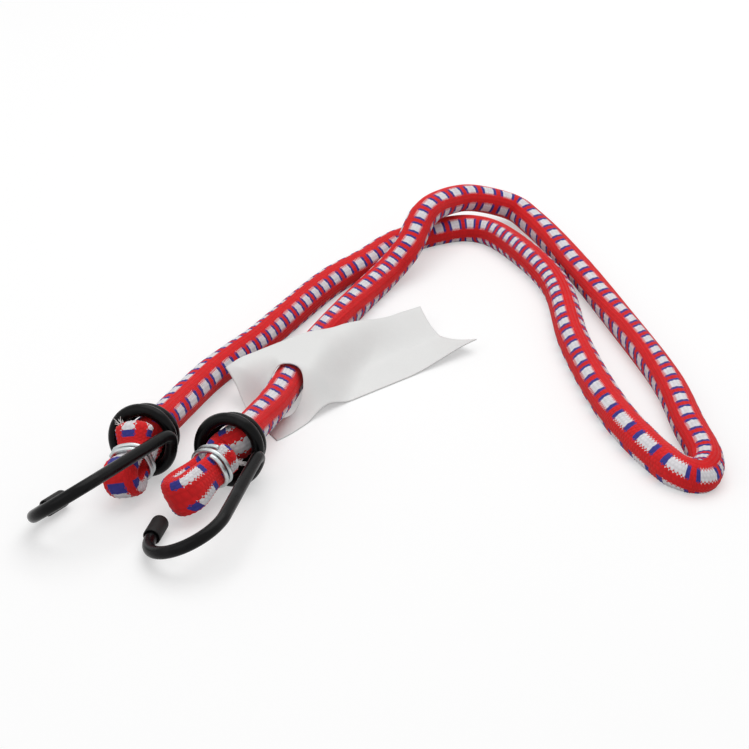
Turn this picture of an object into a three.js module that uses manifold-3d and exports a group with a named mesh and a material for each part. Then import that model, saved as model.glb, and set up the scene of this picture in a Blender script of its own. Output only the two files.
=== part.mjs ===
import * as THREE from 'three';
import Module from 'manifold-3d';

// Elastic tie-down cord with a wire hook at each end, lying folded on a flat surface.
// Millimetres. +Z is up, +X is to the right and -Y faces the viewer.

// Cord
const cordDiameter = 10;
const cordRadius = cordDiameter / 2;
const floorCut = cordDiameter / 10;
const rest = cordRadius - floorCut;
const sheathWall = 1.4;
const coreGap = 0.3;
const faceGap = 0.3;
const cordSides = 12;

// Hook wire and its coiled collar
const wireDiameter = 3.7;
const wireRadius = wireDiameter / 2;
const cordPlay = 0.45;
const coilFlare = 2.7;
const coilTurns = 2.25;
const turnGap = 0.5;
const coilBackRadius = cordRadius + cordPlay + wireRadius;
const coilFrontRadius = coilBackRadius + coilFlare;
const coilGrowth = coilFlare / coilTurns;
const coilPitch = Math.sqrt((wireDiameter + turnGap) ** 2 - coilGrowth ** 2);
const coilLength = coilPitch * coilTurns;
const collarTilt = 10;
const ringRest = 0.05;
const ringHeight = coilFrontRadius * Math.cos(THREE.MathUtils.degToRad(collarTilt)) + wireRadius + ringRest;
const bendAngle = 0.55;
const bendOut = 4.5;
const bendIn = 4;
const shankLength = 30;
const throatRadius = 12.2;
const tipLength = 7.5;

// Tip cap
const capPlay = 0.25;
const capWall = 0.45;
const capLength = 8.8;
const capEnd = 1.1;
const capNose = 1.6;

// Doubled tail and its wire clamp
const squeezedHalf = 3.0;
const legGap = 0.5;
const standingHalf = 3.2;
const standingDepth = 5;
const standingOffset = 3.1;
const deadHalf = 2.8;
const clampPlace = 7.2;
const clampRun = 2.5;
const clampHalf = 2.4;
const clampDepth = 4.8;
const clampWire = 1.7;
const clampPlay = 0.45;
const clampTurnGap = 0.55;
const clampPitch = clampWire + clampTurnGap;
const clampTurns = 2;
const clampStart = 0.9;
const clampSquareness = 0.8;
const tailWall = 0.8;
const collarMargin = 3.2;
const collarBack = -(coilLength + collarMargin);

// Tag
const tagThickness = 0.6;
const tagRise = 11.2;
const tagCurl = 3.9;
const tagEndDip = 3;
const tagFlare = 4.6;
const tagValley = 5;
const nearEdge = { start: -13.6, end: 71.3, offset: -10.7 };
const farEdge = { start: -9.3, end: 70.5, offset: 17.2 };
const holeLength = 15.5;
const holeWidth = 12.6;

const colours = {
  sheath: { color: 0xc0202a, roughness: 0.85, metalness: 0 },
  core: { color: 0xd9c9a0, roughness: 0.8, metalness: 0 },
  hook: { color: 0x151515, roughness: 0.4, metalness: 0.2 },
  cap: { color: 0x1c1a1a, roughness: 0.75, metalness: 0 },
  clamp: { color: 0xb9bec0, roughness: 0.35, metalness: 1 },
  tag: { color: 0xe9e8e6, roughness: 0.8, metalness: 0 },
};

const up = new THREE.Vector3(0, 0, 1);
const vec = (x, y, z) => new THREE.Vector3(x, y, z);

function heading(azimuth, elevation) {
  const a = THREE.MathUtils.degToRad(azimuth);
  const b = THREE.MathUtils.degToRad(elevation);
  return vec(-Math.sin(a) * Math.cos(b), -Math.cos(a) * Math.cos(b), Math.sin(b));
}

function smoothstep(t) {
  const c = Math.min(1, Math.max(0, t));
  return c * c * (3 - 2 * c);
}

function table(rows, at) {
  if (at <= rows[0][0]) return rows[0].slice(1);
  for (let i = 1; i < rows.length; i += 1) {
    if (at <= rows[i][0]) {
      const f = smoothstep((at - rows[i - 1][0]) / (rows[i][0] - rows[i - 1][0]));
      return rows[i].slice(1).map((v, k) => rows[i - 1][k + 1] * (1 - f) + v * f);
    }
  }
  return rows[rows.length - 1].slice(1);
}

// Closed mesh from points and faces, turned so that its faces point out
function solid(points, faces) {
  let volume = 0;
  for (const [a, b, c] of faces) volume += points[a].dot(points[b].clone().cross(points[c]));
  const index = [];
  for (const [a, b, c] of faces) index.push(a, volume > 0 ? b : c, volume > 0 ? c : b);
  const geometry = new THREE.BufferGeometry();
  const flat = points.flatMap((p) => [p.x, p.y, p.z]);
  geometry.setAttribute('position', new THREE.Float32BufferAttribute(flat, 3));
  geometry.setIndex(index);
  geometry.computeVertexNormals();
  return geometry;
}

function tangents(path) {
  return path.map((p, i) => {
    const a = path[Math.max(0, i - 1)];
    const b = path[Math.min(path.length - 1, i + 1)];
    return b.clone().sub(a).normalize();
  });
}

// Frames that keep their second axis near a given direction
function uprightFrames(path, guide, ways = tangents(path)) {
  return ways.map((t) => {
    const v = guide.clone().addScaledVector(t, -guide.dot(t)).normalize();
    return { u: v.clone().cross(t).normalize(), v };
  });
}

// Frames that turn as little as possible along the path
function rollingFrames(path) {
  const t = tangents(path);
  let v = vec(0.31, 0.17, 0.93);
  const frames = [];
  for (let i = 0; i < path.length; i += 1) {
    v = v.clone().addScaledVector(t[i], -v.dot(t[i])).normalize();
    frames.push({ u: v.clone().cross(t[i]).normalize(), v });
  }
  return frames;
}

function ring(centre, frame, outline) {
  return outline.map(([a, b]) => centre.clone().addScaledVector(frame.u, a).addScaledVector(frame.v, b));
}

function joinRings(faces, from, to, n, flip) {
  for (let k = 0; k < n; k += 1) {
    const a = from + k;
    const b = from + ((k + 1) % n);
    const c = to + ((k + 1) % n);
    const d = to + k;
    if (flip) faces.push([a, c, b], [a, d, c]);
    else faces.push([a, b, c], [a, c, d]);
  }
}

// Solid rod along a path; sections gives the outline at each step
function rod(path, frames, sections) {
  const points = [];
  const faces = [];
  const n = sections(0).length;
  for (let i = 0; i < path.length; i += 1) points.push(...ring(path[i], frames[i], sections(i)));
  for (let i = 0; i + 1 < path.length; i += 1) joinRings(faces, i * n, (i + 1) * n, n, false);
  const last = (path.length - 1) * n;
  for (let k = 1; k + 1 < n; k += 1) {
    faces.push([0, k + 1, k]);
    faces.push([last, last + k, last + k + 1]);
  }
  return solid(points, faces);
}

// Hollow sleeve along a path, open at both ends
function sleeve(path, frames, outer, inner) {
  const points = [];
  const faces = [];
  const n = outer(0).length;
  const m = path.length;
  for (let i = 0; i < m; i += 1) points.push(...ring(path[i], frames[i], outer(i)));
  for (let i = 0; i < m; i += 1) points.push(...ring(path[i], frames[i], inner(i)));
  const base = m * n;
  for (let i = 0; i + 1 < m; i += 1) {
    joinRings(faces, i * n, (i + 1) * n, n, false);
    joinRings(faces, base + i * n, base + (i + 1) * n, n, true);
  }
  joinRings(faces, 0, base, n, true);
  joinRings(faces, (m - 1) * n, base + (m - 1) * n, n, false);
  return solid(points, faces);
}

function oval(a, b, sides, floor = -Infinity) {
  const out = [];
  for (let k = 0; k < sides; k += 1) {
    const w = ((k + 0.5) / sides) * 2 * Math.PI;
    out.push([a * Math.cos(w), Math.max(b * Math.sin(w), floor)]);
  }
  return out;
}

const group = new THREE.Group();
function add(name, geometry, look) {
  const mesh = new THREE.Mesh(geometry, new THREE.MeshStandardMaterial(colours[look]));
  mesh.name = name;
  group.add(mesh);
}

// Collars: where the front ring sits, the way the cord leaves it, and the run of its hook
const ends = {
  left: {
    ring: vec(-69.0, -59.5, ringHeight),
    axis: heading(18, collarTilt),
    azimuth: 18,
    roll: 24,
    forward: 4.5,
    shank: heading(31, 5.5),
    throat: vec(-0.7, 0.33, -0.64),
    inward: 0.5,
    tailLength: 20,
    tail: heading(13, -6),
    droop: 2.2,
    twist: 107,
    standing: -1,
    turnDepth: 5.1,
    deadEnd: -1.8,
    deadOffset: 4.9,
    deadDepth: 5.7,
  },
  right: {
    ring: vec(-43.2, -64.5, ringHeight),
    axis: heading(20, collarTilt),
    azimuth: 20,
    roll: 3.5,
    forward: 4.3,
    shank: heading(13.5, 0.8),
    throat: vec(-0.88, 0.18, -0.44),
    inward: -1,
    tailLength: 26,
    tail: heading(33, -6),
    droop: 1.3,
    twist: 26,
    standing: -1,
    turnDepth: 5.7,
    deadEnd: 2,
    deadOffset: 3.3,
    deadDepth: 4.8,
  },
};

// Route of the cord from the right collar round the loop to the left collar
const right = ends.right;
const left = ends.left;
const routeRight = [
  right.ring,
  right.ring.clone().addScaledVector(right.axis, collarBack),
  vec(-35.2, -41, 7.8),
  vec(-31.6, -30.5, 6.7),
  vec(-28.8, -20.5, 5.9),
  vec(-26.4, -10.5, 5.1),
  vec(-20.8, 8, 4.2),
];
const routeLoop = [
  vec(-5, 44.5, rest),
  vec(4.5, 62, 5.4),
  vec(11.5, 72, 9.6),
  vec(17.5, 87, 15),
  vec(24.5, 98.5, 14.6),
  vec(35.5, 108.5, 12),
  vec(51.5, 111.5, 6.4),
  vec(57.5, 104.5, 4.4),
  vec(68.5, 76, rest),
  vec(82, 29.5, rest),
  vec(93, -13.5, rest),
  vec(96, -38, rest),
  vec(98.5, -56, rest),
  vec(97.8, -62.5, rest),
  vec(95.5, -66.5, rest),
  vec(90, -64.5, rest),
  vec(85, -57, rest),
  vec(75, -32.5, rest),
  vec(65.8, 12.5, rest),
  vec(62.5, 54, rest),
  vec(53.6, 78, rest),
  vec(42, 96, rest),
  vec(34.5, 99.5, rest),
  vec(25, 97.5, rest),
  vec(8, 87, rest),
  vec(-3.5, 71.5, rest),
  vec(-15, 57.5, rest),
  vec(-31, 28.5, rest),
];
const routeLeft = [
  vec(-38.2, 15, rest),
  vec(-45.8, 2.8, 4.3),
  vec(-52.4, -10, 5.2),
  vec(-60, -30.5, 7),
  left.ring.clone().addScaledVector(left.axis, collarBack),
  left.ring,
];
const route = [...routeRight, ...routeLoop, ...routeLeft];

// Fine samples of the whole route, with the arc length at each
const curve = new THREE.CatmullRomCurve3(route, false, 'centripetal');
const perSpan = 16;
const fine = [];
for (let i = 0; i <= (route.length - 1) * perSpan; i += 1) {
  const p = curve.getPoint(i / ((route.length - 1) * perSpan));
  p.z = Math.max(p.z, rest);
  fine.push(p);
}
const along = [0];
for (let i = 1; i < fine.length; i += 1) along.push(along[i - 1] + fine[i].distanceTo(fine[i - 1]));
const lengthAt = (index) => along[index * perSpan];

function pointAt(s) {
  let i = 1;
  while (i < fine.length - 1 && along[i] < s) i += 1;
  const f = (s - along[i - 1]) / (along[i] - along[i - 1]);
  return fine[i - 1].clone().lerp(fine[i], f);
}

// Steps of a stretch: closer together where the cord bends
function stretch(from, to, turn, most) {
  const out = [from];
  let last = from;
  let bend = 0;
  for (let i = 1; i + 1 < fine.length; i += 1) {
    if (along[i] <= from || along[i] >= to) continue;
    const a = fine[i].clone().sub(fine[i - 1]);
    const b = fine[i + 1].clone().sub(fine[i]);
    bend += a.angleTo(b);
    if (bend > turn || along[i] - last > most) {
      if (to - along[i] < 1.5) continue;
      out.push(along[i]);
      last = along[i];
      bend = 0;
    }
  }
  out.push(to);
  return out;
}

const startRight = lengthAt(1);
const meetRight = lengthAt(routeRight.length - 1);
const meetLeft = lengthAt(routeRight.length + routeLoop.length);
const startLeft = lengthAt(route.length - 2);
const half = faceGap / 2;
const stretches = {
  right_leg: stretch(startRight + half, meetRight - half, 0.16, 14),
  loop: stretch(meetRight + half, meetLeft - half, 0.22, 20),
  left_leg: stretch(meetLeft + half, startLeft - half, 0.16, 14),
};

const innerRadius = cordRadius - sheathWall;
const coreRadius = innerRadius - coreGap;
for (const [name, places] of Object.entries(stretches)) {
  const path = places.map(pointAt);
  const ways = places.map((s) => pointAt(s + 0.8).sub(pointAt(s - 0.8)).normalize());
  const frames = uprightFrames(path, up, ways);
  const outer = () => oval(cordRadius, cordRadius, cordSides, floorCut - cordRadius);
  const inner = () => oval(innerRadius, innerRadius, cordSides);
  const core = () => oval(coreRadius, coreRadius, cordSides);
  add(`${name}_sheath`, sleeve(path, frames, outer, inner), 'sheath');
  add(`${name}_core`, rod(path, frames, core), 'core');
}

// One end: doubled tail, wire clamp, hook with its coiled collar, and tip cap
function makeEnd(name, end) {
  const a = THREE.MathUtils.degToRad(end.azimuth);
  const side = vec(Math.cos(a), -Math.sin(a), 0);
  const top = end.axis.clone().cross(side).normalize();
  if (top.z < 0) top.negate();
  const place = (x, r, angle) => end.ring.clone()
    .addScaledVector(end.axis, x)
    .addScaledVector(side, r * Math.cos(angle))
    .addScaledVector(top, r * Math.sin(angle));

  // Tail axes: along it, across its two legs, and through its thickness
  const t = end.tail.clone();
  const level = vec(-t.y, t.x, 0).normalize();
  if (level.x < 0) level.negate();
  const lift = t.clone().cross(level).normalize();
  if (lift.z < 0) lift.negate();
  const twist = THREE.MathUtils.degToRad(end.twist);
  const across = level.clone().multiplyScalar(Math.cos(twist)).addScaledVector(lift, Math.sin(twist));
  const through = t.clone().cross(across).normalize();

  const mouth = end.ring.clone().addScaledVector(up, -end.droop);
  const middle = end.ring.clone().addScaledVector(up, -end.droop / 3);
  const spine = (d) => {
    if (d <= -4) return end.ring.clone().addScaledVector(end.axis, d);
    if (d >= 6) return mouth.clone().addScaledVector(t, d);
    const f = (d + 4) / 10;
    const p0 = end.ring.clone().addScaledVector(end.axis, -4);
    const p2 = mouth.clone().addScaledVector(t, 6);
    return p0.multiplyScalar((1 - f) ** 2).addScaledVector(middle, 2 * f * (1 - f)).addScaledVector(p2, f * f);
  };

  // Offset from the spine, half width and half thickness of a leg, along the tail
  const turnOffset = squeezedHalf + legGap / 2;
  const turnPlace = end.tailLength - turnOffset - squeezedHalf;
  const standing = [
    [collarBack, 0, cordRadius, cordRadius],
    [-8, 0, cordRadius, cordRadius],
    [-1, standingOffset, standingHalf, standingDepth],
    [clampPlace - clampRun, clampHalf + legGap / 2, clampHalf, clampDepth],
    [clampPlace + clampRun, clampHalf + legGap / 2, clampHalf, clampDepth],
    [turnPlace, turnOffset, squeezedHalf, end.turnDepth],
  ];
  const dead = [
    [end.deadEnd, end.deadOffset, deadHalf, end.deadDepth],
    [clampPlace - clampRun, clampHalf + legGap / 2, clampHalf, clampDepth],
    [clampPlace + clampRun, clampHalf + legGap / 2, clampHalf, clampDepth],
    [turnPlace, turnOffset, squeezedHalf, end.turnDepth],
  ];
  const path = [];
  const shape = [];
  const s = end.standing;
  const run = [clampPlace - clampRun, clampPlace, clampPlace + clampRun];
  for (let d = clampPlace + clampRun + 2; d < turnPlace - 1; d += 2) run.push(d);
  run.push(turnPlace);
  for (const d of [collarBack + half, -9, -7, -5, -3, -1, 1, 3, ...run]) {
    const [offset, w, h] = table(standing, d);
    path.push(spine(d).addScaledVector(across, s * offset));
    shape.push([w, h]);
  }
  for (let k = 1; k < 8; k += 1) {
    const b = (k / 8) * Math.PI;
    path.push(spine(turnPlace)
      .addScaledVector(t, turnOffset * Math.sin(b))
      .addScaledVector(across, s * turnOffset * Math.cos(b)));
    shape.push([squeezedHalf, end.turnDepth]);
  }
  for (const d of [...run.reverse(), (end.deadEnd + clampPlace - clampRun) / 2, end.deadEnd]) {
    const [offset, w, h] = table(dead, d);
    path.push(spine(d).addScaledVector(across, -s * offset));
    shape.push([w, h]);
  }
  const frames = uprightFrames(path, through);
  const wall = tailWall;
  const gap = coreGap;
  const outer = (i) => oval(shape[i][0], shape[i][1], cordSides);
  const inner = (i) => oval(shape[i][0] - wall, shape[i][1] - wall, cordSides);
  const core = (i) => oval(shape[i][0] - wall - gap, shape[i][1] - wall - gap, cordSides);
  add(`${name}_tail_sheath`, sleeve(path, frames, outer, inner), 'sheath');
  add(`${name}_tail_core`, rod(path, frames, core), 'core');

  // Two turns of plated wire round both legs
  const reach = 2 * clampHalf + legGap / 2 + clampPlay + clampWire / 2;
  const depth = clampDepth + clampPlay + clampWire / 2;
  const bind = [];
  for (let k = 0; k <= 24 * clampTurns; k += 1) {
    const turn = k / 24;
    const c = Math.cos(turn * 2 * Math.PI + clampStart);
    const z = Math.sin(turn * 2 * Math.PI + clampStart);
    bind.push(spine(clampPlace + clampPitch * (turn - clampTurns / 2))
      .addScaledVector(across, reach * Math.sign(c) * Math.abs(c) ** clampSquareness)
      .addScaledVector(through, depth * Math.sign(z) * Math.abs(z) ** clampSquareness));
  }
  const clampSection = oval(clampWire / 2, clampWire / 2, 6);
  add(`${name}_clamp`, rod(bind, rollingFrames(bind), () => clampSection), 'clamp');

  // Hook wire: coil from the small turn to the front ring, bend, shank, throat and tip
  const roll = THREE.MathUtils.degToRad(end.roll);
  const leave = roll - bendAngle;
  const wire = [];
  const steps = Math.round(coilTurns * 24);
  for (let i = 0; i <= steps; i += 1) {
    const f = i / steps;
    const angle = leave - (1 - f) * coilTurns * 2 * Math.PI;
    wire.push(place(-coilLength * (1 - f), coilBackRadius + coilFlare * f, angle));
  }
  const shank = end.shank;
  const throat = end.throat.clone().addScaledVector(shank, -end.throat.dot(shank)).normalize();
  const p0 = wire[wire.length - 1];
  const out0 = side.clone().multiplyScalar(-Math.sin(leave)).addScaledVector(top, Math.cos(leave));
  const p3 = place(end.forward, coilFrontRadius - end.inward, roll);
  const p1 = p0.clone().addScaledVector(out0, bendOut);
  const p2 = p3.clone().addScaledVector(shank, -bendIn);
  const bend = new THREE.CubicBezierCurve3(p0, p1, p2, p3);
  for (let k = 1; k <= 8; k += 1) wire.push(bend.getPoint(k / 8));
  for (let k = 1; k <= 4; k += 1) wire.push(p3.clone().addScaledVector(shank, (shankLength * k) / 4));
  const heel = wire[wire.length - 1];
  for (let k = 1; k <= 14; k += 1) {
    const b = (k / 14) * Math.PI;
    wire.push(heel.clone()
      .addScaledVector(shank, throatRadius * Math.sin(b))
      .addScaledVector(throat, throatRadius * (1 - Math.cos(b))));
  }
  const turnEnd = wire[wire.length - 1];
  for (let k = 1; k <= 2; k += 1) wire.push(turnEnd.clone().addScaledVector(shank, (-tipLength * k) / 2));
  const wireSection = oval(wireRadius, wireRadius, 10);
  add(`${name}_hook`, rod(wire, rollingFrames(wire), () => wireSection), 'hook');

  // Cap: a closed sleeve over the tip
  const capInner = wireRadius + capPlay;
  const capOuter = capInner + capWall;
  const tip = wire[wire.length - 1];
  const back = shank.clone().negate();
  const base = tip.clone().addScaledVector(back, capEnd + coreGap - capLength);
  const profile = [
    [0, capInner], [0, capOuter], [capLength - capNose, capOuter], [capLength - capNose * 0.45, capOuter * 0.86],
    [capLength - capNose * 0.12, capOuter * 0.55],
  ];
  const capFrame = uprightFrames([base, tip], throat)[0];
  const points = [];
  const faces = [];
  const n = 12;
  for (const [x, r] of profile) {
    points.push(...ring(base.clone().addScaledVector(back, x), capFrame, oval(r, r, n)));
  }
  points.push(...ring(base.clone().addScaledVector(back, capLength - capEnd), capFrame, oval(capInner, capInner, n)));
  const m = profile.length;
  for (let i = 0; i + 1 < m; i += 1) joinRings(faces, i * n, (i + 1) * n, n, false);
  joinRings(faces, 0, m * n, n, true);
  points.push(base.clone().addScaledVector(back, capLength));
  points.push(base.clone().addScaledVector(back, capLength - capEnd));
  const apex = (m + 1) * n;
  for (let k = 0; k < n; k += 1) {
    faces.push([(m - 1) * n + k, (m - 1) * n + ((k + 1) % n), apex]);
    faces.push([m * n + ((k + 1) % n), m * n + k, apex + 1]);
  }
  add(`${name}_tip_cap`, solid(points, faces), 'cap');

  // Least clear distance between turns of the collar's coil
  let least = Infinity;
  const apart = Math.round(24 * 0.6);
  for (let i = 0; i <= steps + 3; i += 1) {
    for (let k = i + apart; k < wire.length; k += 1) {
      least = Math.min(least, wire[i].distanceTo(wire[k]) - wireDiameter);
    }
  }
  console.log(`${name} collar coil: least gap to itself ${least.toFixed(2)} mm`);
  let leastClamp = Infinity;
  for (let i = 0; i < bind.length; i += 1) {
    for (let k = i + 14; k < bind.length; k += 1) {
      leastClamp = Math.min(leastClamp, bind[i].distanceTo(bind[k]) - clampWire);
    }
  }
  console.log(`${name} clamp: least gap to itself ${leastClamp.toFixed(2)} mm`);
  return { heel, throat, shank };
}

const made = { left: makeEnd('left', left), right: makeEnd('right', right) };

// Tag: a card with a hole, low on the near side of the cord and resting over it on the far side
const hole = routeRight[4];
const cordWay = routeRight[5].clone().sub(routeRight[3]);
cordWay.z = 0;
cordWay.normalize();
const cordSide = vec(cordWay.y, -cordWay.x, 0);
const longWay = vec(0.78, 0.626, 0);
const wideWay = vec(-0.626, 0.78, 0);

// Along the card: where across it the rise starts and ends, and its share of the full rise
const riseTable = [
  [-13, -5, 9, 0.8],
  [-2, -5, 9, 1],
  [20, 1, 15, 1.02],
  [36, 7, 18.5, 0.8],
  [59, 5, 19, 0.5],
  [72, 4, 19, 0.44],
];

// Near the cord the card climbs along it; farther off it climbs across its own width
function tagHeight(p, q) {
  const at = longWay.clone().multiplyScalar(p).addScaledVector(wideWay, q);
  const alongCord = at.dot(cordWay) * cordWay.dot(wideWay);
  const besideCord = Math.abs(at.dot(cordSide)) - cordRadius;
  const f = smoothstep((besideCord - 0.5) / cordDiameter);
  const [from, to, share] = table(riseTable, p);
  const climb = smoothstep((alongCord + 5) / 10) * (1 - f) + smoothstep((q - from) / (to - from)) * f;
  const near = Math.max(0, tagValley - q) / (tagValley - nearEdge.offset);
  return tagRise * share * climb + tagCurl * smoothstep((p - 42) / 29) * near ** 2;
}

function tagPoint(i, j, columns, rows) {
  const f = i / columns;
  const g = j / rows;
  const pNear = nearEdge.start + (nearEdge.end - nearEdge.start) * f;
  const pFar = farEdge.start + (farEdge.end - farEdge.start) * f;
  const qNear = nearEdge.offset - tagFlare * (1 - smoothstep(f * 3.2));
  const p = pNear * (1 - g) + pFar * g - tagEndDip * f * f * 4 * g * (1 - g);
  const q = qNear * (1 - g) + farEdge.offset * g;
  const at = vec(hole.x, hole.y, 0).addScaledVector(longWay, p).addScaledVector(wideWay, q);
  at.z = tagHeight(p, q);
  return at;
}

function tagSheet() {
  const columns = 24;
  const rows = 16;
  const points = [];
  const faces = [];
  const w = columns + 1;
  const count = w * (rows + 1);
  for (const rise of [0, tagThickness]) {
    for (let j = 0; j <= rows; j += 1) {
      for (let i = 0; i <= columns; i += 1) {
        const at = tagPoint(i, j, columns, rows);
        at.z += rise;
        points.push(at);
      }
    }
  }
  for (let j = 0; j < rows; j += 1) {
    for (let i = 0; i < columns; i += 1) {
      const a = j * w + i;
      const b = a + 1;
      const c = a + w + 1;
      const d = a + w;
      faces.push([a, c, b], [a, d, c]);
      faces.push([count + a, count + b, count + c], [count + a, count + c, count + d]);
    }
  }
  const rim = [];
  for (let i = 0; i < columns; i += 1) rim.push(i);
  for (let j = 0; j < rows; j += 1) rim.push(j * w + columns);
  for (let i = columns; i > 0; i -= 1) rim.push(rows * w + i);
  for (let j = rows; j > 0; j -= 1) rim.push(j * w);
  for (let k = 0; k < rim.length; k += 1) {
    const a = rim[k];
    const b = rim[(k + 1) % rim.length];
    faces.push([a, b, count + b], [a, count + b, count + a]);
  }
  return solid(points, faces);
}

function holePrism() {
  const base = vec(hole.x, hole.y, -5);
  const path = [base, base.clone().addScaledVector(up, 30)];
  const frames = path.map(() => ({ u: cordSide.clone(), v: cordWay.clone() }));
  const outline = oval(holeWidth / 2, holeLength / 2, 24);
  return rod(path, frames, () => outline);
}

const wasm = await Module();
wasm.setup();
function toManifold(geometry) {
  return new wasm.Manifold(new wasm.Mesh({
    numProp: 3,
    vertProperties: new Float32Array(geometry.attributes.position.array),
    triVerts: new Uint32Array(geometry.index.array),
  }));
}
const cutTag = toManifold(tagSheet()).subtract(toManifold(holePrism())).getMesh();
const tagGeometry = new THREE.BufferGeometry();
tagGeometry.setAttribute('position', new THREE.Float32BufferAttribute(cutTag.vertProperties, 3));
tagGeometry.setIndex([...cutTag.triVerts]);
tagGeometry.computeVertexNormals();
add('tag', tagGeometry, 'tag');

// Origin: bottom centre of everything but the free cord
const free = new Set(['right_leg', 'loop', 'left_leg'].flatMap((n) => [`${n}_sheath`, `${n}_core`]));
const box = new THREE.Box3();
let lowest = Infinity;
for (const mesh of group.children) {
  mesh.geometry.computeBoundingBox();
  lowest = Math.min(lowest, mesh.geometry.boundingBox.min.z);
  if (!free.has(mesh.name)) box.union(mesh.geometry.boundingBox);
}
const shift = vec(-(box.min.x + box.max.x) / 2, -(box.min.y + box.max.y) / 2, -box.min.z);
for (const mesh of group.children) mesh.geometry.translate(shift.x, shift.y, shift.z);

const show = (p) => `${p.x.toFixed(3)} ${p.y.toFixed(3)} ${p.z.toFixed(3)}`;
console.log(`shift ${show(shift)}, lowest before it ${lowest.toFixed(3)}`);
for (const [name, end] of Object.entries(ends)) {
  console.log(`${name} ring ${show(end.ring.clone().add(shift))} axis ${show(end.axis)}`);
  const middle = made[name].heel.clone().addScaledVector(made[name].throat, throatRadius).add(shift);
  console.log(`${name} throat middle ${show(middle)}`);
}
console.log(`tag hole ${show(hole.clone().add(shift))} way ${show(cordWay)}`);
console.log(`loop length ${(meetLeft - meetRight).toFixed(1)}, right leg ${(meetRight - startRight).toFixed(1)}`);
console.log(`left leg ${(startLeft - meetLeft).toFixed(1)}`);
const meets = { right: pointAt(meetRight), left: pointAt(meetLeft) };
for (const [name, p] of Object.entries(meets)) console.log(`${name} meet ${show(p.clone().add(shift))}`);

export default group;
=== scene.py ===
import math
import random

import bpy
import numpy as np
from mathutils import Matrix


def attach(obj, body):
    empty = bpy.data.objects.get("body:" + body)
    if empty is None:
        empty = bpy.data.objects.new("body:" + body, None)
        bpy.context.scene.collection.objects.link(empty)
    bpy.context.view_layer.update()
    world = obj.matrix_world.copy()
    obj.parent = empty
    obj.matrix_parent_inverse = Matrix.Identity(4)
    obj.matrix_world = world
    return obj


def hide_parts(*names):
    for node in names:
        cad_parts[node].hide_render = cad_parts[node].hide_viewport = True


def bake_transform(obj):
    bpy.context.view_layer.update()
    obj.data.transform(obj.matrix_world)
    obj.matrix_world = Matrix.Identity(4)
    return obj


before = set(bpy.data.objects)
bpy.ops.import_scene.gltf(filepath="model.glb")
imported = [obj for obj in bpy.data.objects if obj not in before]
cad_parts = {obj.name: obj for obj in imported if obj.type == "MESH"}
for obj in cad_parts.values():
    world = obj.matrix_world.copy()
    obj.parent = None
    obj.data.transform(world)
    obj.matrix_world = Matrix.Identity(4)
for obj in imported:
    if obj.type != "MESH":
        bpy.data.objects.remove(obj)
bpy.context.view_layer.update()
scene = bpy.context.scene
scene.view_settings.view_transform = "Standard"
print("frame loaded")


# Camera: where the photographer stood, in metres and degrees
view = {
    "target": (0.032245, 0.037837, 0.0),
    "elevation": 30.0,
    "distance": 0.6537,
    "lens": 97.4,
    "sensor": 36.0,
    "nearest": 0.01,
}


def makeCamera(spec):
    tilt = math.radians(spec["elevation"])
    camera = bpy.data.objects.new("camera", bpy.data.cameras.new("camera"))
    scene.collection.objects.link(camera)
    camera.data.lens = spec["lens"]
    camera.data.sensor_width = spec["sensor"]
    camera.data.clip_start = spec["nearest"]
    x, y, z = spec["target"]
    back = spec["distance"] * math.cos(tilt)
    camera.location = (x, y - back, z + spec["distance"] * math.sin(tilt))
    camera.rotation_euler = (math.pi / 2 - tilt, 0, 0)
    scene.camera = camera


makeCamera(view)


# Small maths on points
def unit(v):
    v = np.asarray(v, float)
    return v / np.linalg.norm(v, axis=-1, keepdims=True)


def heading(azimuth, elevation):
    a, b = math.radians(azimuth), math.radians(elevation)
    return np.array([-math.sin(a) * math.cos(b), -math.cos(a) * math.cos(b), math.sin(b)])


def smoothstep(t):
    t = np.clip(t, 0, 1)
    return t * t * (3 - 2 * t)


def easeTable(rows, at):
    rows = np.asarray(rows, float)
    i = int(np.clip(np.searchsorted(rows[:, 0], at) - 1, 0, len(rows) - 2))
    f = smoothstep((at - rows[i, 0]) / (rows[i + 1, 0] - rows[i, 0]))
    return rows[i, 1:] * (1 - f) + rows[i + 1, 1:] * f


def lineTable(rows, at):
    rows = np.asarray(rows, float)
    return np.interp(at, rows[:, 0], rows[:, 1])


def softLine(rows, at, reach, samples=9):
    spread = np.linspace(-reach, reach, samples)
    return np.mean([lineTable(rows, at + shift) for shift in spread], axis=0)


def lengths(path):
    steps = np.linalg.norm(np.diff(path, axis=0), axis=1)
    return np.concatenate([[0.0], np.cumsum(steps)])


def pick(path, run, at):
    return np.stack([np.interp(at, run, path[:, k]) for k in range(3)], axis=-1)


def spaced(count, number):
    return np.unique(np.linspace(0, count - 1, number).astype(int))


def framesAlong(ways, guide):
    v = unit(guide - (ways @ guide)[:, None] * ways)
    return np.cross(v, ways), v


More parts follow.
